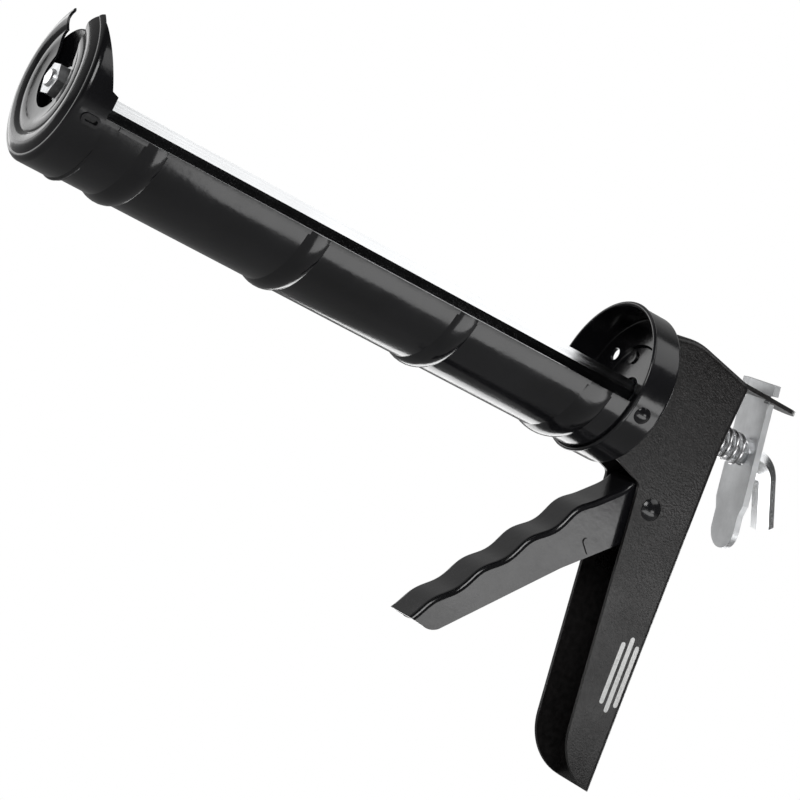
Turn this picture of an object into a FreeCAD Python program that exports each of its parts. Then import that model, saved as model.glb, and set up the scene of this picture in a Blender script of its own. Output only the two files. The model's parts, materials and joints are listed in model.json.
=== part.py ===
import FreeCAD, Part
import math
import os

# Half-barrel caulking gun. Millimetres, +X along the barrel towards the nozzle,
# +Y to the gun's left, +Z up. Origin: barrel axis at the cartridge seat.
V = FreeCAD.Vector
X_AXIS = V(1, 0, 0)
Y_AXIS = V(0, 1, 0)
ORIGIN = V(0, 0, 0)

# Cradle: pressed half barrel with four ring beads
CRADLE_R = 26.5
CRADLE_T = 1.0
CRADLE_REAR = 2.5
CRADLE_FRONT = 234.6
EDGE_ANGLE = 10.9          # the cradle edges lie this many degrees below the axis
RIB_X = [25.0, 82.2, 142.9, 205.4]
RIB_HALF = [5.4, 4.3, 4.3, 4.3]
RIB_RISE = 1.3
HEM_WIDTH_ANGLE = 3.2
HEM_RISE = 0.35

# Pressed cups at both ends fit over the cradle
CUP_IN_R = 26.55
CUP_OUT_R = 27.5
CUP_LIP_X = 11.1
CUP_FLOOR_T = 1.2
RECESS_R = 16.0
RECESS_DEPTH = 1.0
VENT_R = 2.3
VENT_Y = 16.2
VENT_Z = 10.4
CUP_RIVETS = [(y, z) for y in (-6.0, 6.0) for z in (-11.5, 11.5)]

CAP_FACE_X = 236.3
CAP_RIM_R = 25.4
CAP_PROFILE = [(-0.3, 9.0), (-0.25, 11.0), (0.45, 14.5), (0.7, 16.5), (0.3, 18.3),
               (1.2, 20.3), (1.4, 21.8), (0.85, 23.8), (0.0, CAP_RIM_R)]
KEYHOLE_R = 10.4
KEYHOLE_Z = 0.8
SLOT_HALF = 8.0

# Hexagonal push rod
ROD_AF = 7.1
ROD_FRONT = 229.6
STUD_R = 2.95
STUD_END = 238.2
BEND_START = -61.0
BEND_R = 9.0
BEND_ANGLE = 62.0
LEG_LENGTH = 17.6

# Piston stack on the stud
WASHER_T = 1.0
PISTON_R = 18.3
PISTON_T = 1.2
NUT_AF = 10.0
NUT_T = 4.6

# Handle: folded channel, closed along its top and back
HANDLE_W = 23.5
HANDLE_T = 1.5
FOLD_R = 2.2
PIVOT = V(-23.6, 0, -33.6)
PIVOT_R = 2.5
TONGUE_TOP = 21.0
TONGUE_END = -66.5

# Trigger: channel with a wavy finger side
TRIGGER_W = 16.6
TRIGGER_T = 1.2
NOSE_ARM = 26.0
NOSE_LEAN = 12.0
NOSE_R = 4.0

# Grip plates and springs
PLATE_REAR = -24.85
PLATE_T = 2.0
PLATE_GAP = 0.1
PLATE_HALF_W = 9.7

# Release lever hangs in the tongue slot
LEVER_PIVOT = V(-51.0, 0, 20.25)
LEVER_TILT = 14.5
LEVER_T = 2.4
LEVER_HOLE_R = 4.7
LEVER_HOLE_RAISE = 0.2      # lets the tilted lever bite the rod from below


def box(x0, x1, y0, y1, z0, z1):
    return Part.makeBox(x1 - x0, y1 - y0, z1 - z0, V(x0, y0, z0))


def rod_x(radius, x0, x1, y=0.0, z=0.0):
    """Round bar along X."""
    return Part.makeCylinder(radius, x1 - x0, V(x0, y, z), X_AXIS)


def rod_y(radius, y0, y1, x, z):
    """Round bar along Y."""
    return Part.makeCylinder(radius, y1 - y0, V(x, y0, z), Y_AXIS)


def ring_x(r_out, r_in, x0, x1):
    return rod_x(r_out, x0, x1).cut(rod_x(r_in, x0 - 1, x1 + 1))


def lathe(edges, sweep=360.0):
    """Turn a closed profile in the XZ plane (z is the radius) about the barrel axis."""
    wire = Part.Wire(Part.__sortEdges__(edges))
    return Part.Face(wire).revolve(ORIGIN, X_AXIS, sweep)


def outline(points, closed=True):
    """Straight edges through (x, z) pairs."""
    corners = [V(x, 0, z) for x, z in points]
    if closed:
        corners.append(corners[0])
    return [Part.makeLine(a, b) for a, b in zip(corners, corners[1:])]


def arc_xz(a, mid, b):
    return Part.Arc(V(a[0], 0, a[1]), V(mid[0], 0, mid[1]), V(b[0], 0, b[1])).toShape()


def rounded_outline(corners):
    """Closed outline through (x, z, radius) corners, each one rounded by its radius."""
    starts, arcs = [], []
    for k, (x, z, radius) in enumerate(corners):
        here = V(x, 0, z)
        before = V(corners[k - 1][0], 0, corners[k - 1][1]) - here
        after = V(corners[(k + 1) % len(corners)][0], 0, corners[(k + 1) % len(corners)][1]) - here
        before.normalize()
        after.normalize()
        half_angle = before.getAngle(after) / 2.0
        run = radius / math.tan(half_angle)
        inwards = before + after
        inwards.normalize()
        middle = here + inwards * (radius / math.sin(half_angle) - radius)
        starts.append((here + before * run, here + after * run))
        arcs.append(middle)
    edges = []
    for k, (a, b) in enumerate(starts):
        if a.distanceToPoint(b) > 1e-6:
            edges.append(Part.Arc(a, arcs[k], b).toShape())
        nxt = starts[(k + 1) % len(starts)][0]
        edges.append(Part.makeLine(b, nxt))
    return edges


def plate_xz(edges, half_width):
    """Slab between y = -half_width and +half_width from a closed XZ outline."""
    face = Part.Face(Part.Wire(edges))
    face.translate(V(0, -half_width, 0))
    return face.extrude(V(0, 2 * half_width, 0))


def hex_wire(across_flats, x):
    """Hexagon across the barrel axis with a flat on top."""
    radius = across_flats / math.sqrt(3)
    turns = [math.radians(60 * k) for k in range(7)]
    corners = [V(x, radius * math.cos(t), radius * math.sin(t)) for t in turns]
    return Part.makePolygon(corners)


def hex_bar(across_flats, x0, x1):
    return Part.Face(hex_wire(across_flats, x0)).extrude(V(x1 - x0, 0, 0))


def coil_x(mean_r, wire_r, x0, x1, turns):
    """Open coil spring along X; x0 and x1 are the outer faces of the end coils."""
    length = x1 - x0 - 2 * wire_r
    path = Part.makeHelix(length / turns, length, mean_r)
    section = Part.Wire(Part.makeCircle(wire_r, V(mean_r, 0, 0), Y_AXIS))
    spring = Part.Wire(path).makePipeShell([section], True, True)
    spring.rotate(ORIGIN, Y_AXIS, 90)
    spring.translate(V(x0 + wire_r, 0, 0))
    return spring


def mirrored(shape):
    """The same shape on the gun's other side."""
    return shape.mirror(ORIGIN, Y_AXIS)


def clean(shape):
    return shape.removeSplitter()


# ---------------------------------------------------------------- barrel

def ribbed_line(radius, shrink):
    """Edges from rear to front along the cradle wall, bulging at each rib."""
    edges = []
    x = CRADLE_REAR
    for centre, half in zip(RIB_X, RIB_HALF):
        start = (centre - half + shrink, radius)
        peak = (centre, radius + RIB_RISE)
        end = (centre + half - shrink, radius)
        edges += outline([(x, radius), start], closed=False)
        edges.append(arc_xz(start, peak, end))
        x = end[0]
    edges += outline([(x, radius), (CRADLE_FRONT, radius)], closed=False)
    return edges


def make_cradle():
    inner_r = CRADLE_R - CRADLE_T
    outer = ribbed_line(CRADLE_R, 0.0)
    inner = ribbed_line(inner_r, 0.3)
    ends = outline([(CRADLE_REAR, inner_r), (CRADLE_REAR, CRADLE_R)], closed=False)
    ends += outline([(CRADLE_FRONT, inner_r), (CRADLE_FRONT, CRADLE_R)], closed=False)
    profile = Part.Face(Part.Wire(Part.__sortEdges__(outer + inner + ends)))
    profile.rotate(ORIGIN, X_AXIS, -90 - EDGE_ANGLE)
    trough = profile.revolve(ORIGIN, X_AXIS, -180 + 2 * EDGE_ANGLE)
    hem = Part.Face(Part.Wire(outline([
        (CUP_LIP_X + 2.4, inner_r + 0.3), (CUP_LIP_X + 2.4, CRADLE_R + HEM_RISE),
        (219.5, CRADLE_R + HEM_RISE), (219.5, inner_r + 0.3)])))
    hem.rotate(ORIGIN, X_AXIS, -90 - EDGE_ANGLE)
    hem_left = hem.revolve(ORIGIN, X_AXIS, -HEM_WIDTH_ANGLE)
    cradle = trough.fuse([hem_left, mirrored(hem_left)])
    for rivet_hole in side_bars(1.42, 20.0, 30.0):
        cradle = cradle.cut(rivet_hole)
    return clean(cradle)


def side_bars(radius, r0, r1):
    """Radial bars at the cup rivet positions, one on each side."""
    bar = Part.makeCylinder(radius, r1 - r0, V(6.0, r0, 0), Y_AXIS)
    bar.rotate(ORIGIN, X_AXIS, -15.5)
    return [bar, mirrored(bar)]


def make_cradle_rivets():
    """Domed rivets that pin the rear cup to the cradle, flush on the inside."""
    dome = Part.makeSphere(4.6, V(6.0, CUP_OUT_R - 3.3, 0))
    head = dome.common(Part.makeCylinder(3.0, 3.0, V(6.0, CUP_OUT_R - 1.0, 0), Y_AXIS))
    head = head.cut(rod_x(CUP_OUT_R, 0, 12))
    head.rotate(ORIGIN, X_AXIS, -15.5)
    shanks = side_bars(1.4, CRADLE_R - CRADLE_T + 0.15, CUP_OUT_R + 0.3)
    rivets = [shank.fuse(cap) for shank, cap in zip(shanks, (head, mirrored(head)))]
    return Part.makeCompound([clean(r) for r in rivets])


def make_rear_cup():
    back = -CUP_FLOOR_T
    recess_front = -RECESS_DEPTH
    recess_back = -RECESS_DEPTH - CUP_FLOOR_T
    corner = 1.6
    inner_corner = 0.8
    s = math.sqrt(0.5)
    outer_mid = (back + corner * (1 - s), CUP_OUT_R - corner * (1 - s))
    inner_mid = (inner_corner * (1 - s), CUP_IN_R - inner_corner * (1 - s))
    edges = outline([(recess_back, 5.0), (recess_front, 5.0), (recess_front, RECESS_R),
                     (0, RECESS_R + 0.8), (0, CUP_IN_R - inner_corner)], closed=False)
    edges.append(arc_xz((0, CUP_IN_R - inner_corner), inner_mid, (inner_corner, CUP_IN_R)))
    edges += outline([(inner_corner, CUP_IN_R), (CUP_LIP_X, CUP_IN_R), (CUP_LIP_X, CUP_OUT_R),
                      (back + corner, CUP_OUT_R)], closed=False)
    edges.append(arc_xz((back + corner, CUP_OUT_R), outer_mid, (back, CUP_OUT_R - corner)))
    edges += outline([(back, CUP_OUT_R - corner), (back, RECESS_R + 1.4),
                      (recess_back, RECESS_R + 0.6), (recess_back, 5.0)], closed=False)
    lip = Part.makeTorus(CUP_IN_R + 0.78, 0.75, V(CUP_LIP_X, 0, 0), X_AXIS)
    cup = lathe(edges).fuse(lip)
    for side in (-1, 1):
        cup = cup.cut(rod_x(VENT_R, -4, 2, side * VENT_Y, VENT_Z))
    for y, z in CUP_RIVETS:
        cup = cup.cut(rod_x(1.52, -4, 2, y, z))
    for rivet_hole in side_bars(1.42, 20.0, 30.0):
        cup = cup.cut(rivet_hole)
    return clean(cup)


def make_cup_rivets():
    """Four rivets that hold the cup floor on the handle ears, heads below the seat."""
    front = -RECESS_DEPTH
    ear_back = -RECESS_DEPTH - CUP_FLOOR_T - HANDLE_T
    rivets = []
    for y, z in CUP_RIVETS:
        head = rod_x(2.4, front, front + 0.75, y, z)
        shank = rod_x(1.5, ear_back, front, y, z)
        tail = rod_x(2.3, ear_back - 0.9, ear_back, y, z)
        rivet = clean(head.fuse([shank, tail]))
        rivets.append(rivet)
    return Part.makeCompound(rivets)


def pressed_face(shift):
    """Radial section of the cap's embossed face as a chain of arcs, moved along X by shift."""
    line = [(CAP_FACE_X + dx + shift, r) for dx, r in CAP_PROFILE]
    return [arc_xz(*line[k:k + 3]) for k in range(0, len(line) - 1, 2)]


def make_front_cap():
    face = CAP_FACE_X
    rise = CUP_OUT_R - CAP_RIM_R
    s = math.sqrt(0.5)
    skirt_x = face - rise
    outer_mid = (skirt_x + rise * s, CAP_RIM_R + rise * s)
    inner_rise = CUP_IN_R - CAP_RIM_R
    inner_mid = (skirt_x + inner_rise * s, CAP_RIM_R + inner_rise * s)
    hub_out = (face + CAP_PROFILE[0][0], 5.0)
    shift = skirt_x + inner_rise - face
    hub_in = (hub_out[0] + shift, 5.0)
    edges = pressed_face(0.0)
    edges += outline([hub_out, (hub_out[0], CAP_PROFILE[0][1])], closed=False)
    edges.append(arc_xz((face, CAP_RIM_R), outer_mid, (skirt_x, CUP_OUT_R)))
    edges += outline([(skirt_x, CUP_OUT_R), (219.0, CUP_OUT_R), (219.0, CUP_IN_R),
                      (skirt_x, CUP_IN_R)], closed=False)
    edges.append(arc_xz((skirt_x, CUP_IN_R), inner_mid, (skirt_x + inner_rise, CAP_RIM_R)))
    edges += pressed_face(shift)
    edges += outline([(hub_in[0], CAP_PROFILE[0][1]), hub_in, hub_out], closed=False)
    hem = Part.makeTorus(CUP_IN_R + 0.75, 0.72, V(222.7, 0, 0), X_AXIS)
    cap = lathe(edges).fuse(hem)
    # the skirt is deep below and tapers away towards the top of the disc
    behind = plate_xz(outline([(221.4, -40), (221.4, -26.2), (225.6, -2.8), (225.0, -2.4), (225.0, 2.4),
                               (227.4, 3.2), (235.15, 21.6), (235.15, 40), (200, 40), (200, -40)]), 40)
    cap = cap.cut(behind)
    keyhole = rod_x(KEYHOLE_R, 215, 245, z=KEYHOLE_Z).fuse(slot_cutter())
    return clean(add_cap_lance(cap.cut(keyhole)))


def slot_cutter():
    """Slot from the keyhole out through the rim, its corners rounded outwards."""
    def at(y, z):
        return V(215, y, z)
    flare = [at(SLOT_HALF, 15.5), at(SLOT_HALF + 1.3, 20.2), at(12.8, 24.0)]
    left = Part.Arc(*flare).toShape()
    right = Part.Arc(*[at(-p.y, p.z) for p in flare]).toShape()
    top = [at(12.8, 24.0), at(12.8, 40), at(-12.8, 40), at(-12.8, 24.0)]
    foot = [at(-SLOT_HALF, 15.5), at(-SLOT_HALF, 0), at(SLOT_HALF, 0), at(SLOT_HALF, 15.5)]
    edges = [left, right]
    for chain in (top, foot):
        edges += [Part.makeLine(a, b) for a, b in zip(chain, chain[1:])]
    wire = Part.Wire(Part.__sortEdges__(edges))
    return Part.Face(wire).extrude(V(30, 0, 0))


def stadium(length, width, y0, y1):
    """Round-ended bar standing along Y, its long way along X."""
    half = (length - width) / 2.0
    middle = box(-half, half, y0, y1, -width / 2.0, width / 2.0)
    ends = [rod_y(width / 2.0, y0, y1, x, 0) for x in (-half, half)]
    return clean(middle.fuse(ends))


def add_cap_lance(cap):
    """Lanced and raised lip on each side of the skirt that bites on the cradle."""
    boss = stadium(6.8, 3.6, CUP_IN_R + 0.4, CUP_OUT_R + 0.65)
    slot = stadium(4.6, 1.5, CUP_IN_R + 0.35, 40)
    for part in (boss, slot):
        part.translate(V(229.4, 0, 0))
        part.rotate(ORIGIN, X_AXIS, -16.0)
    cap = cap.fuse([boss, mirrored(boss)])
    return cap.cut(slot).cut(mirrored(slot))


# ---------------------------------------------------------------- handle

def handle_outline():
    """Side view of the handle cheek."""
    return rounded_outline([
        (-1.2, 23.6, 0.0), (-12.0, 25.9, 24.0), (-38.8, 20.7, 3.0), (-39.3, -4.0, 150.0),
        (-52.6, -131.1, 0.0), (-36.6, -128.3, 22.0), (-18.2, -42.5, 30.0),
        (-14.8, -27.3, 2.5), (-1.2, -23.2, 0.0)])


def make_handle_frame():
    half = HANDLE_W / 2.0
    inside = half - HANDLE_T
    block = plate_xz(handle_outline(), half)
    block = round_folds(block, half)
    cavity = rounded_outline([
        (8.0, 19.9, 0.0), (-12.0, 24.3, 22.5), (-37.3, 19.4, 1.5), (-37.8, -4.0, 150.0),
        (-52.2, -141.0, 0.0), (8.0, -141.0, 0.0)])
    shell = block.cut(plate_xz(cavity, inside))
    ears = []
    ear_front = -RECESS_DEPTH - CUP_FLOOR_T
    for z0, z1 in ((-18.5, -9.0), (9.0, 18.5)):
        ear = box(ear_front - HANDLE_T, ear_front, 2.8, inside + 0.5, z0, z1)
        ears += [ear, mirrored(ear)]
    shell = shell.cut(rod_x(RECESS_R + 1.5, ear_front, 5.0)).fuse(ears)
    shell = shell.fuse(make_tongue())
    shell = shell.cut(rod_x(4.7, -48.0, -30.0))
    shell = shell.cut(rod_y(PIVOT_R + 0.03, -20, 20, PIVOT.x, PIVOT.z))
    for y, z in CUP_RIVETS:
        shell = shell.cut(rod_x(1.52, -6, 0, y, z))
    return clean(shell)


def round_folds(block, half):
    """Round the fold lines along the top and the back of the handle."""
    folds = []
    for edge in block.Edges:
        bounds = edge.BoundBox
        on_side = bounds.YLength < 0.01 and abs(abs(bounds.YMin) - half) < 0.01
        middle = edge.valueAt((edge.FirstParameter + edge.LastParameter) / 2.0)
        if on_side and -90 < middle.z < -30 and middle.x < -40:
            folds.append(edge)
    return block.makeFillet(FOLD_R, folds)


def make_tongue():
    """Strip carried on from the top web, with the slot the release lever hangs in."""
    z0 = TONGUE_TOP - HANDLE_T
    def at(x, y):
        return V(x, y, z0)
    tip = Part.Arc(at(-61.0, 8.0), at(TONGUE_END, 0), at(-61.0, -8.0)).toShape()
    sides = [at(-61.0, -8.0), at(-36.0, -10.0), at(-36.0, 10.0), at(-61.0, 8.0)]
    edges = [tip] + [Part.makeLine(a, b) for a, b in zip(sides, sides[1:])]
    strip = Part.Face(Part.Wire(Part.__sortEdges__(edges))).extrude(V(0, 0, HANDLE_T))
    slot = box(LEVER_PIVOT.x - 1.85, LEVER_PIVOT.x + 1.85, -6.6, 6.6, z0 - 1, z0 + HANDLE_T + 1)
    return strip.cut(slot)


def make_trigger_pivot():
    half = HANDLE_W / 2.0
    shank = rod_y(PIVOT_R, -half, half, PIVOT.x, PIVOT.z)
    dome = Part.makeSphere(6.0, V(PIVOT.x, half - 4.3, PIVOT.z))
    head = dome.common(rod_y(3.9, half, half + 3, PIVOT.x, PIVOT.z))
    return clean(shank.fuse([head, mirrored(head)]))


def make_pivot_spacers():
    """Collars that centre the trigger between the handle cheeks."""
    y0 = TRIGGER_W / 2.0 + 0.1
    y1 = HANDLE_W / 2.0 - HANDLE_T - 0.02
    collar = rod_y(5.0, y0, y1, PIVOT.x, PIVOT.z)
    collar = collar.cut(rod_y(PIVOT_R + 0.02, 0, 20, PIVOT.x, PIVOT.z))
    return Part.makeCompound([collar, mirrored(collar)])


# ---------------------------------------------------------------- trigger

FINGER_START = V(-6.4, 0, -38.6)
FINGER_LENGTH = 80.0
FINGER_ANGLE = -53.35      # direction of the finger side below the horizontal


def finger_point(s, rise):
    """Point on the finger side: s along it, rise outwards from it."""
    a = math.radians(FINGER_ANGLE)
    return V(FINGER_START.x + s * math.cos(a) - rise * math.sin(a), 0,
             FINGER_START.z + s * math.sin(a) + rise * math.cos(a))


def finger_curve(inset):
    """Finger side from the handle down: a short lead-in, then waves that fade to the tip."""
    points = [finger_point(s, rise - inset) for s, rise in ((-13.0, 0.1), (-9.0, -0.4), (-4.5, 0.1))]
    for k in range(27):
        s = FINGER_LENGTH * k / 26.0
        wave = (1.0 - 0.005 * s) * math.cos(2 * math.pi * (s - 9.2) / 20.3)
        points.append(finger_point(s, 1.75 - 0.010 * s + wave - inset))
    curve = Part.BSplineCurve()
    curve.interpolate(points)
    return curve.toShape(), points[0], points[-1]


def nose_centre():
    lean = math.radians(NOSE_LEAN)
    return V(PIVOT.x - NOSE_ARM * math.sin(lean), 0, PIVOT.z + NOSE_ARM * math.cos(lean))


def make_trigger():
    nose = nose_centre()
    waves, top, tip = finger_curve(0.0)
    front_low = (nose.x + math.sqrt(NOSE_R ** 2 - 2.3 ** 2), nose.z - 2.3)
    crown = (nose.x, nose.z + NOSE_R)
    edges = outline([front_low, (front_low[0], -17.5), (top.x, top.z)], closed=False)
    edges.append(waves)
    edges += outline([(tip.x, tip.z), (36.0, -103.3)], closed=False)
    edges.append(arc_xz((36.0, -103.3), (32.6, -103.4), (29.6, -101.9)))
    edges += outline([(29.6, -101.9), (-3.2, -65.4), (-20.7, -48.6)], closed=False)
    edges.append(arc_xz((-20.7, -48.6), (-31.5, -42.0), (-33.6, -33.0)))
    edges += outline([(-33.6, -33.0), (nose.x - NOSE_R, nose.z)], closed=False)
    edges.append(arc_xz((nose.x - NOSE_R, nose.z), crown, front_low))
    body = round_finger_side(plate_xz(edges, TRIGGER_W / 2.0))
    inner_waves, inner_top, inner_tip = finger_curve(TRIGGER_T)
    open_side = outline([
        (inner_tip.x, inner_tip.z), (inner_tip.x + 5.4, inner_tip.z - 7.3), (-20, -120), (-60, -60),
        (-60, 20), (-20.5, 20), (inner_top.x - 0.8, inner_top.z + 1.1), (inner_top.x, inner_top.z)],
        closed=False)
    body = body.cut(plate_xz([inner_waves] + open_side, TRIGGER_W / 2.0 - TRIGGER_T))
    body = body.cut(rod_y(PIVOT_R + 0.06, -20, 20, PIVOT.x, PIVOT.z))
    return clean(add_darts(body))


def round_finger_side(body):
    """Round the two folds between the wavy web and the cheeks."""
    half = TRIGGER_W / 2.0
    folds = []
    for edge in body.Edges:
        bounds = edge.BoundBox
        on_side = bounds.YLength < 0.01 and abs(abs(bounds.YMin) - half) < 0.01
        if on_side and edge.Curve.TypeId == "Part::GeomBSplineCurve":
            folds.append(edge)
    return body.makeFillet(1.8, folds)


def add_darts(body):
    """Short pressed darts that stiffen both cheeks where they enter the handle."""
    half = TRIGGER_W / 2.0
    dart = stadium(6.5, 2.4, half - 0.6, half + 0.55)
    dart.rotate(ORIGIN, Y_AXIS, -42)
    dart.translate(V(-9.2, 0, -54.6))
    return body.fuse([dart, mirrored(dart)])


# ---------------------------------------------------------------- drive

def make_drive_plate(x0):
    half = PLATE_HALF_W
    plate = box(x0, x0 + PLATE_T, -half, half, -13.5, 14.0)
    corners = [e for e in plate.Edges if e.BoundBox.XLength > PLATE_T - 0.01]
    plate = plate.makeFillet(2.5, corners)
    return plate.cut(hex_bar(ROD_AF + 0.8, x0 - 1, x0 + PLATE_T + 1))


def make_drive_spring_washer():
    front = -RECESS_DEPTH - CUP_FLOOR_T - 0.02
    return ring_x(7.6, 4.9, front - 0.9, front)


def make_drive_spring():
    plate_front = PLATE_REAR + 2 * PLATE_T + PLATE_GAP
    washer_back = -RECESS_DEPTH - CUP_FLOOR_T - 0.92
    return coil_x(5.7, 0.6, plate_front + 0.05, washer_back - 0.05, 5)


def make_rod():
    straight = hex_bar(ROD_AF, BEND_START, ROD_FRONT)
    section = Part.Face(hex_wire(ROD_AF, BEND_START))
    centre = V(BEND_START, 0, -BEND_R)
    bend = section.revolve(centre, Y_AXIS, -BEND_ANGLE)
    section.rotate(centre, Y_AXIS, -BEND_ANGLE)
    a = math.radians(BEND_ANGLE)
    leg = section.extrude(V(-LEG_LENGTH * math.cos(a), 0, -LEG_LENGTH * math.sin(a)))
    stud = rod_x(STUD_R, ROD_FRONT - 1, STUD_END)
    stud = stud.makeChamfer(0.5, [e for e in stud.Edges if abs(e.BoundBox.XMin - STUD_END) < 0.01])
    return clean(straight.fuse([bend, leg, stud]))


def make_piston_rear_washer():
    return ring_x(8.0, 3.05, ROD_FRONT, ROD_FRONT + WASHER_T)


def make_piston_plate():
    """Dished disc; its rim is pushed forward and turned back at the edge."""
    rear = ROD_FRONT + WASHER_T
    t = PISTON_T
    rim = 3.2
    corner = 0.8
    r = PISTON_R
    front_side = [(rear + t, 3.05), (rear + t, 9.5), (rear + t + rim, r - corner)]
    back_side = [(rear - 2.2, r), (rear - 2.2, r - t), (rear + rim - 0.6, r - t), (rear, 9.8), (rear, 3.05)]
    edges = outline(front_side, closed=False)
    s = math.sqrt(0.5)
    start = (rear + t + rim, r - corner)
    mid = (rear + t + rim - corner * (1 - s), r - corner * (1 - s))
    edges.append(arc_xz(start, mid, (rear + t + rim - corner, r)))
    edges += outline([(rear + t + rim - corner, r)] + back_side, closed=False)
    edges += outline([back_side[-1], front_side[0]], closed=False)
    return lathe(edges)


def make_piston_front_washer():
    x0 = ROD_FRONT + WASHER_T + PISTON_T
    return ring_x(6.2, 3.05, x0, x0 + 0.8)


def make_piston_nut():
    x0 = ROD_FRONT + WASHER_T + PISTON_T + 0.8
    blank = hex_bar(NUT_AF, x0, x0 + NUT_T)
    corner_r = NUT_AF / math.sqrt(3)
    chamfer = Part.makeCone(corner_r + 0.9 + NUT_T, corner_r - 0.7, NUT_T + 1.6, V(x0, 0, 0), X_AXIS)
    blank = blank.common(chamfer)
    return clean(blank.cut(rod_x(STUD_R + 0.03, x0 - 1, x0 + NUT_T + 1)))


# ---------------------------------------------------------------- release lever

def make_release_lever():
    """T-headed strip hung in the tongue slot, with a clearance hole for the rod."""
    def at(y, z):
        return V(-LEVER_T / 2.0, y, z)
    right = [at(7.2, -48.3), at(7.2, -42.5), at(8.8, -38.5), at(8.8, -1.5), at(6.0, -1.5),
             at(6.0, 1.5), at(10.3, 1.5), at(10.3, 5.4)]
    left = [at(-p.y, p.z) for p in reversed(right)]
    chain = right + left
    edges = [Part.makeLine(a, b) for a, b in zip(chain, chain[1:])]
    edges.append(Part.Arc(at(-7.2, -48.3), at(0, -55.5), at(7.2, -48.3)).toShape())
    blank = Part.Face(Part.Wire(edges)).extrude(V(LEVER_T, 0, 0))
    hole_z = LEVER_HOLE_RAISE - LEVER_PIVOT.z / math.cos(math.radians(LEVER_TILT))
    blank = blank.cut(rod_x(LEVER_HOLE_R, -5, 5, 0, hole_z))
    blank.rotate(ORIGIN, Y_AXIS, LEVER_TILT)
    blank.translate(LEVER_PIVOT)
    return clean(blank)


def make_lever_spring():
    return coil_x(5.2, 0.7, -53.2, -39.7, 4)


NODES = {
    "cradle": make_cradle,
    "cradle_rivets": make_cradle_rivets,
    "rear_cup": make_rear_cup,
    "cup_rivets": make_cup_rivets,
    "front_cap": make_front_cap,
    "handle_frame": make_handle_frame,
    "trigger_pivot": make_trigger_pivot,
    "pivot_spacers": make_pivot_spacers,
    "trigger": make_trigger,
    "drive_plate_rear": lambda: make_drive_plate(PLATE_REAR),
    "drive_plate_front": lambda: make_drive_plate(PLATE_REAR + PLATE_T + PLATE_GAP),
    "drive_spring_washer": make_drive_spring_washer,
    "drive_spring": make_drive_spring,
    "rod": make_rod,
    "piston_rear_washer": make_piston_rear_washer,
    "piston_plate": make_piston_plate,
    "piston_front_washer": make_piston_front_washer,
    "piston_nut": make_piston_nut,
    "release_lever": make_release_lever,
    "lever_spring": make_lever_spring,
}

os.makedirs("parts", exist_ok=True)
for name, make in NODES.items():
    shape = make()
    print(name, len(shape.Solids), shape.isValid(), round(shape.Volume, 1), shape.BoundBox)
    shape.exportStep("parts/" + name + ".step")
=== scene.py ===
import json
import math

import bpy
from mathutils import Matrix, Vector


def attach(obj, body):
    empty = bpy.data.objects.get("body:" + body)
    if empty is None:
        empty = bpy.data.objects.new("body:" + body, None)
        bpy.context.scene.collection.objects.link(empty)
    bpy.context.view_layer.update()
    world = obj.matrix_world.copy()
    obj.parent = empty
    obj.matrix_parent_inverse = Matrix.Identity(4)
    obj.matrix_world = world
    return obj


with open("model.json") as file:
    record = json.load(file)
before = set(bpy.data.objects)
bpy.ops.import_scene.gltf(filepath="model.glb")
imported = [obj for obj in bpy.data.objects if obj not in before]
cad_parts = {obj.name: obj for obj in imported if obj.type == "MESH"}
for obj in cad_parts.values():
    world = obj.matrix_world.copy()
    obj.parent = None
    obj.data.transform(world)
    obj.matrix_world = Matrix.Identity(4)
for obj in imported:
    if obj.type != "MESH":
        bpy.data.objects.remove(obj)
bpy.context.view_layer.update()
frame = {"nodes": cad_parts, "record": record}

# Camera: in front of the gun on its left, a little under the barrel, and rolled
CAMERA_TARGET = Vector((0.0774, 0.0, -0.0390))
CAMERA_DISTANCE = 1.019
CAMERA_TOWARDS_NOZZLE = 28.48
CAMERA_ELEVATION = -1.72
CAMERA_ROLL = 26.31
CAMERA_LENS = 137.9

FLOOR_Z = -0.1335
FLOOR_HALF_SIZE = 6.0

# Light strengths: what the camera sees, and what reflections and shading get
BACKDROP_SEEN = 1.0
BACKDROP_CAST = 0.3
ROOM_CAST = 0.05
FLOOR_CAST = 0.45

# Colours
GLOSS_BLACK = (0.006, 0.006, 0.007)
HAMMERED_BLACK = (0.0135, 0.0125, 0.0125)
ZINC = (0.76, 0.77, 0.78)
ROD_STEEL = (0.86, 0.87, 0.88)
WIRE_STEEL = (0.72, 0.72, 0.73)
PRINT_WHITE = (0.93, 0.93, 0.92)

# Handle and rod sizes repeated from the CAD, in metres
CHEEK_Y = 0.01175
STUD_R = 0.00295
STUD_X = (0.2330, 0.2376)
THREAD_PITCH = 0.0010
THREAD_RISE = 0.00009
THREAD_STEPS = 28

# Printed bars: (offset across the cheek, half length)
BAR_MIDDLE = Vector((-0.0420, CHEEK_Y + 0.00004, -0.0895))
BAR_ROWS = [(-0.0030, 0.0105), (0.0, 0.0130), (0.0030, 0.0105)]
BAR_HALF_WIDTH = 0.0009
BAR_END_STEPS = 12


# ---------------------------------------------------------------- material helpers

def set_range(node, low, high, out_low, out_high):
    """Fill in a Map Range node."""
    node.inputs["From Min"].default_value = low
    node.inputs["From Max"].default_value = high
    node.inputs["To Min"].default_value = out_low
    node.inputs["To Max"].default_value = out_high


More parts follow.
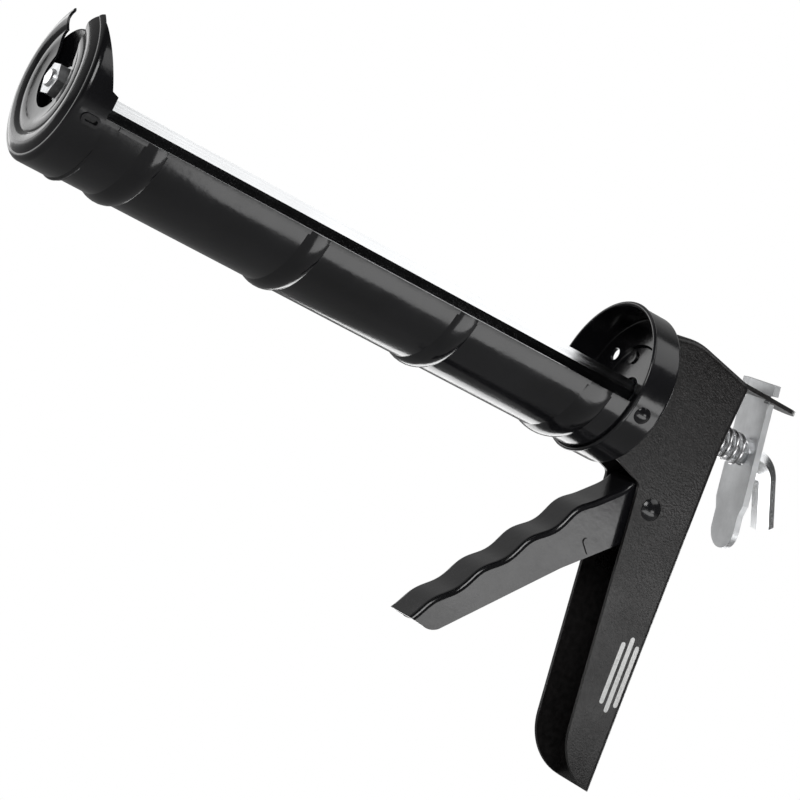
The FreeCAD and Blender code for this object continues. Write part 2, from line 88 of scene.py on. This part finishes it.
class Shader:
    """A new material with its node tree and a few short ways to add nodes."""

    def __init__(self, name):
        self.material = bpy.data.materials.new(name)
        self.material.use_nodes = True
        self.tree = self.material.node_tree
        self.bsdf = self.tree.nodes["Principled BSDF"]
        self.place = self.tree.nodes.new("ShaderNodeTexCoord").outputs["Object"]

    def link(self, source, target):
        self.tree.links.new(source, target)

    def mapped(self, stretch):
        node = self.tree.nodes.new("ShaderNodeMapping")
        node.inputs["Scale"].default_value = stretch
        self.link(self.place, node.inputs["Vector"])
        return node.outputs["Vector"]

    def noise(self, scale, detail=4.0, roughness=0.5, place=None):
        node = self.tree.nodes.new("ShaderNodeTexNoise")
        node.inputs["Scale"].default_value = scale
        node.inputs["Detail"].default_value = detail
        node.inputs["Roughness"].default_value = roughness
        self.link(place or self.place, node.inputs["Vector"])
        return node.outputs["Fac"]

    def cells(self, scale, smooth=0.6):
        node = self.tree.nodes.new("ShaderNodeTexVoronoi")
        node.feature = "SMOOTH_F1"
        node.inputs["Scale"].default_value = scale
        node.inputs["Smoothness"].default_value = smooth
        self.link(self.place, node.inputs["Vector"])
        return node.outputs["Distance"]

    def remap(self, value, low, high, out_low, out_high):
        node = self.tree.nodes.new("ShaderNodeMapRange")
        set_range(node, low, high, out_low, out_high)
        self.link(value, node.inputs["Value"])
        return node.outputs["Result"]

    def mix(self, factor, first, second):
        node = self.tree.nodes.new("ShaderNodeMix")
        node.data_type = "RGBA"
        colours = [socket for socket in node.inputs if socket.type == "RGBA"]
        colours[0].default_value = (*first, 1.0)
        colours[1].default_value = (*second, 1.0)
        self.link(factor, node.inputs["Factor"])
        return next(socket for socket in node.outputs if socket.type == "RGBA")

    def add(self, first, second):
        node = self.tree.nodes.new("ShaderNodeMath")
        node.operation = "ADD"
        self.link(first, node.inputs[0])
        self.link(second, node.inputs[1])
        return node.outputs["Value"]

    def bump(self, height, distance, strength=1.0):
        node = self.tree.nodes.new("ShaderNodeBump")
        node.inputs["Strength"].default_value = strength
        node.inputs["Distance"].default_value = distance
        self.link(height, node.inputs["Height"])
        self.link(node.outputs["Normal"], self.bsdf.inputs["Normal"])

    def set(self, **values):
        for key, value in values.items():
            self.bsdf.inputs[key.replace("_", " ").title().replace("Ior", "IOR")].default_value = value


def shade(colour, amount):
    return tuple(channel * amount for channel in colour)


# ---------------------------------------------------------------- materials

def gloss_black_paint():
    """Dipped enamel: deep black, faint orange peel, a little handling haze."""
    s = Shader("gloss_black_paint")
    s.set(metallic=0.0, ior=1.5)
    s.bsdf.inputs["Coat Weight"].default_value = 0.3
    s.bsdf.inputs["Coat Roughness"].default_value = 0.08
    tone = s.remap(s.noise(35.0, 5.0), 0.35, 0.7, 0.0, 1.0)
    s.link(s.mix(tone, shade(GLOSS_BLACK, 0.8), shade(GLOSS_BLACK, 1.6)), s.bsdf.inputs["Base Color"])
    haze = s.remap(s.noise(60.0, 6.0, 0.65), 0.4, 0.72, 0.14, 0.24)
    s.link(haze, s.bsdf.inputs["Roughness"])
    peel = s.add(s.noise(420.0, 2.0), s.remap(s.noise(90.0, 3.0), 0.0, 1.0, 0.0, 2.0))
    waver = s.remap(s.noise(28.0, 1.0), 0.0, 1.0, 0.0, 6.0)
    s.bump(s.add(peel, waver), 0.00004)
    return s.material


def hammered_black_paint():
    """Hammer-finish paint: small soft dimples over a slightly uneven sheen."""
    s = Shader("hammered_black_paint")
    s.set(metallic=0.0, ior=1.5)
    cells = s.cells(1300.0)
    grain = s.noise(1500.0, 3.0, 0.6)
    tone = s.remap(s.noise(500.0, 4.0), 0.35, 0.7, 0.0, 1.0)
    s.link(s.mix(tone, shade(HAMMERED_BLACK, 0.6), shade(HAMMERED_BLACK, 1.6)), s.bsdf.inputs["Base Color"])
    s.link(s.remap(s.noise(40.0, 5.0), 0.3, 0.75, 0.26, 0.42), s.bsdf.inputs["Roughness"])
    s.bump(s.add(cells, s.remap(grain, 0.0, 1.0, 0.0, 0.8)), 0.00009, 0.55)
    return s.material


def zinc_plate():
    """Bright zinc plating with faint rolling lines and a cloudy tone."""
    s = Shader("zinc_plate")
    s.set(metallic=1.0)
    cloud = s.remap(s.noise(80.0, 6.0, 0.6), 0.35, 0.7, 0.0, 1.0)
    s.link(s.mix(cloud, shade(ZINC, 0.86), shade(ZINC, 1.12)), s.bsdf.inputs["Base Color"])
    lines = s.noise(60.0, 5.0, 0.6, s.mapped((1.0, 18.0, 1.0)))
    s.link(s.remap(lines, 0.3, 0.7, 0.36, 0.5), s.bsdf.inputs["Roughness"])
    s.bump(lines, 0.00002)
    return s.material


def bright_rod():
    """Drawn hexagonal bar: satin bright, with fine draw lines along it."""
    s = Shader("bright_rod_steel")
    s.set(metallic=1.0)
    lines = s.noise(120.0, 4.0, 0.6, s.mapped((0.06, 9.0, 9.0)))
    cloud = s.remap(s.noise(45.0, 5.0), 0.35, 0.7, 0.0, 1.0)
    s.link(s.mix(cloud, shade(ROD_STEEL, 0.94), shade(ROD_STEEL, 1.04)), s.bsdf.inputs["Base Color"])
    s.link(s.remap(lines, 0.3, 0.7, 0.18, 0.28), s.bsdf.inputs["Roughness"])
    s.bump(lines, 0.000012)
    return s.material


def spring_wire():
    """Bright drawn spring wire."""
    s = Shader("spring_wire")
    s.set(metallic=1.0)
    cloud = s.remap(s.noise(300.0, 4.0), 0.35, 0.7, 0.0, 1.0)
    s.link(s.mix(cloud, shade(WIRE_STEEL, 0.85), shade(WIRE_STEEL, 1.1)), s.bsdf.inputs["Base Color"])
    s.link(s.remap(s.noise(500.0, 3.0), 0.3, 0.7, 0.24, 0.36), s.bsdf.inputs["Roughness"])
    s.bump(s.noise(1200.0, 2.0), 0.00001)
    return s.material


def pad_print():
    """White pad-printed ink, thin enough to break up a little over the paint."""
    s = Shader("pad_print")
    s.set(metallic=0.0, ior=1.45)
    wear = s.remap(s.noise(900.0, 4.0, 0.6), 0.5, 0.75, 0.0, 1.0)
    s.link(s.mix(wear, PRINT_WHITE, shade(PRINT_WHITE, 0.75)), s.bsdf.inputs["Base Color"])
    s.link(s.remap(s.noise(700.0, 3.0), 0.3, 0.7, 0.45, 0.6), s.bsdf.inputs["Roughness"])
    s.bump(s.noise(1500.0, 2.0), 0.00002)
    return s.material


def pale_floor():
    """Evenly lit white to the camera; dim to reflections, so the black underside stays black."""
    s = Shader("pale_floor")
    s.link(s.mix(s.noise(3.0), (FLOOR_CAST,) * 3, (FLOOR_CAST * 1.1,) * 3), s.bsdf.inputs["Base Color"])
    s.bsdf.inputs["Roughness"].default_value = 0.9
    path = s.tree.nodes.new("ShaderNodeLightPath")
    lit = s.tree.nodes.new("ShaderNodeEmission")
    lit.inputs["Color"].default_value = (1.0, 1.0, 1.0, 1.0)
    both = s.tree.nodes.new("ShaderNodeMixShader")
    s.link(path.outputs["Is Camera Ray"], both.inputs["Fac"])
    s.link(s.bsdf.outputs["BSDF"], both.inputs[1])
    s.link(lit.outputs["Emission"], both.inputs[2])
    s.link(both.outputs["Shader"], s.tree.nodes["Material Output"].inputs["Surface"])
    return s.material


# ---------------------------------------------------------------- detail pieces

def piece(name, points, faces, material, body, smooth=True):
    """A mesh piece that rides on one body."""
    mesh = bpy.data.meshes.new(name)
    mesh.from_pydata([tuple(p) for p in points], [], faces)
    mesh.materials.append(material)
    for polygon in mesh.polygons:
        polygon.use_smooth = smooth
    obj = bpy.data.objects.new(name, mesh)
    bpy.context.scene.collection.objects.link(obj)
    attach(obj, body)
    return obj


def stud_thread(material):
    """Thread ridge wound round the end of the rod's stud."""
    turns = (STUD_X[1] - STUD_X[0]) / THREAD_PITCH
    steps = int(turns * THREAD_STEPS)
    profile = [(-0.42, 0.0), (-0.08, 1.0), (0.08, 1.0), (0.42, 0.0)]
    points, faces = [], []
    for k in range(steps + 1):
        angle = 2 * math.pi * k / THREAD_STEPS
        x = STUD_X[0] + THREAD_PITCH * k / THREAD_STEPS
        for along, out in profile:
            r = STUD_R - 0.00002 + THREAD_RISE * out
            points.append((x + along * THREAD_PITCH, r * math.cos(angle), r * math.sin(angle)))
    for k in range(steps):
        for j in range(len(profile) - 1):
            a = k * len(profile) + j
            faces.append((a, a + 1, a + 1 + len(profile), a + len(profile)))
    return piece("stud_thread", points, faces, material, "push_rod")


def printed_bars(material):
    """Three plain bars printed on the near cheek, where a maker would print a mark."""
    along = Vector((-0.107, 0.0, -0.994))
    across = Vector((-0.994, 0.0, 0.107))
    for number, (offset, half_length) in enumerate(BAR_ROWS, start=1):
        points = []
        for sign in (1, -1):
            for k in range(BAR_END_STEPS + 1):
                angle = math.pi * k / BAR_END_STEPS
                bend = along * (sign * (half_length + BAR_HALF_WIDTH * math.sin(angle)))
                sideways = across * (offset + sign * BAR_HALF_WIDTH * math.cos(angle))
                points.append(BAR_MIDDLE + sideways + bend)
        front = list(range(len(points)))
        piece("printed_bar_%d" % number, points, [front], material, "frame", smooth=False)


def paint_cad():
    """Give every CAD node its finish."""
    black = gloss_black_paint()
    hammered = hammered_black_paint()
    zinc = zinc_plate()
    rod = bright_rod()
    wire = spring_wire()
    finishes = {
        "gloss_black_paint": black,
        "hammered_black_paint": hammered,
        "zinc_plated_steel": zinc,
        "bright_rod_steel": rod,
        "spring_steel": wire,
    }
    slots = {part["node"]: part["material_slot"] for part in frame["record"]["subparts"]}
    for name, obj in frame["nodes"].items():
        obj.data.materials.clear()
        obj.data.materials.append(finishes[slots[name]])
    return zinc


# ---------------------------------------------------------------- stage

def make_floor():
    size = FLOOR_HALF_SIZE
    mesh = bpy.data.meshes.new("floor")
    mesh.from_pydata([(-size, -size, FLOOR_Z), (size, -size, FLOOR_Z), (size, size, FLOOR_Z),
                      (-size, size, FLOOR_Z)], [], [(0, 1, 2, 3)])
    mesh.materials.append(pale_floor())
    floor = bpy.data.objects.new("floor", mesh)
    bpy.context.scene.collection.objects.link(floor)


def make_world():
    """White to the camera; to reflections a soft backdrop behind the gun and a dim room in front."""
    world = bpy.data.worlds.new("studio")
    bpy.context.scene.world = world
    world.use_nodes = True
    tree = world.node_tree
    tree.nodes.clear()
    path = tree.nodes.new("ShaderNodeLightPath")
    seen = tree.nodes.new("ShaderNodeBackground")
    seen.inputs["Strength"].default_value = BACKDROP_SEEN
    seen.inputs["Color"].default_value = (1.0, 1.0, 1.0, 1.0)
    cast = tree.nodes.new("ShaderNodeBackground")
    cast.inputs["Color"].default_value = (1.0, 1.0, 1.0, 1.0)
    place = tree.nodes.new("ShaderNodeTexCoord")
    split = tree.nodes.new("ShaderNodeSeparateXYZ")
    fade = tree.nodes.new("ShaderNodeMapRange")
    fade.interpolation_type = "SMOOTHSTEP"
    set_range(fade, 0.0, -0.5, ROOM_CAST, BACKDROP_CAST)
    tree.links.new(place.outputs["Generated"], split.inputs["Vector"])
    tree.links.new(split.outputs["Y"], fade.inputs["Value"])
    tree.links.new(fade.outputs["Result"], cast.inputs["Strength"])
    both = tree.nodes.new("ShaderNodeMixShader")
    out = tree.nodes.new("ShaderNodeOutputWorld")
    tree.links.new(path.outputs["Is Camera Ray"], both.inputs["Fac"])
    tree.links.new(cast.outputs["Background"], both.inputs[1])
    tree.links.new(seen.outputs["Background"], both.inputs[2])
    tree.links.new(both.outputs["Shader"], out.inputs["Surface"])


def soft_box(name, place, width, height, power, target=CAMERA_TARGET):
    light = bpy.data.lights.new(name, "AREA")
    light.shape = "RECTANGLE"
    light.size = width
    light.size_y = height
    light.energy = power
    obj = bpy.data.objects.new(name, light)
    obj.location = place
    obj.rotation_mode = "QUATERNION"
    obj.rotation_quaternion = (target - Vector(place)).to_track_quat("-Z", "Y")
    bpy.context.scene.collection.objects.link(obj)


def make_lights():
    soft_box("overhead", (-0.40, 0.42, 0.80), 0.9, 0.5, 1.7)
    soft_box("cheek_card", (-0.30, 0.50, -0.072), 0.24, 0.11, 0.25)
    soft_box("floor_card", (-0.12, 0.27, -0.131), 0.45, 0.24, 0.75, Vector((-0.12, 0.27, 1.0)))
    soft_box("floor_card_rear", (-0.17, -0.17, -0.131), 0.35, 0.16, 0.45, Vector((-0.17, -0.17, 1.0)))
    soft_box("backdrop_card", (0.46, -0.75, 0.03), 0.80, 0.32, 1.1)
    soft_box("rear_right", (-0.80, -0.35, 0.03), 0.30, 0.30, 1.2)
    soft_box("key", (0.75, 0.95, 0.55), 0.6, 0.6, 6.0)


def make_camera():
    azimuth = math.radians(CAMERA_TOWARDS_NOZZLE)
    elevation = math.radians(CAMERA_ELEVATION)
    roll = math.radians(CAMERA_ROLL)
    back = Vector((math.sin(azimuth) * math.cos(elevation), math.cos(azimuth) * math.cos(elevation),
                   math.sin(elevation)))
    level = (-back).cross(Vector((0, 0, 1))).normalized()
    upright = level.cross(-back)
    right = level * math.cos(roll) + upright * math.sin(roll)
    up = upright * math.cos(roll) - level * math.sin(roll)
    camera = bpy.data.objects.new("camera", bpy.data.cameras.new("camera"))
    camera.data.lens = CAMERA_LENS
    camera.data.sensor_width = 36.0
    camera.data.clip_start = 0.05
    camera.data.clip_end = 50.0
    turn = Matrix((right, up, back)).transposed().to_4x4()
    camera.matrix_world = Matrix.Translation(CAMERA_TARGET + back * CAMERA_DISTANCE) @ turn
    bpy.context.scene.collection.objects.link(camera)
    bpy.context.scene.camera = camera


zinc_material = paint_cad()
stud_thread(zinc_material)
printed_bars(pad_print())
make_floor()
make_world()
make_lights()
make_camera()
bpy.context.scene.view_settings.view_transform = "Standard"
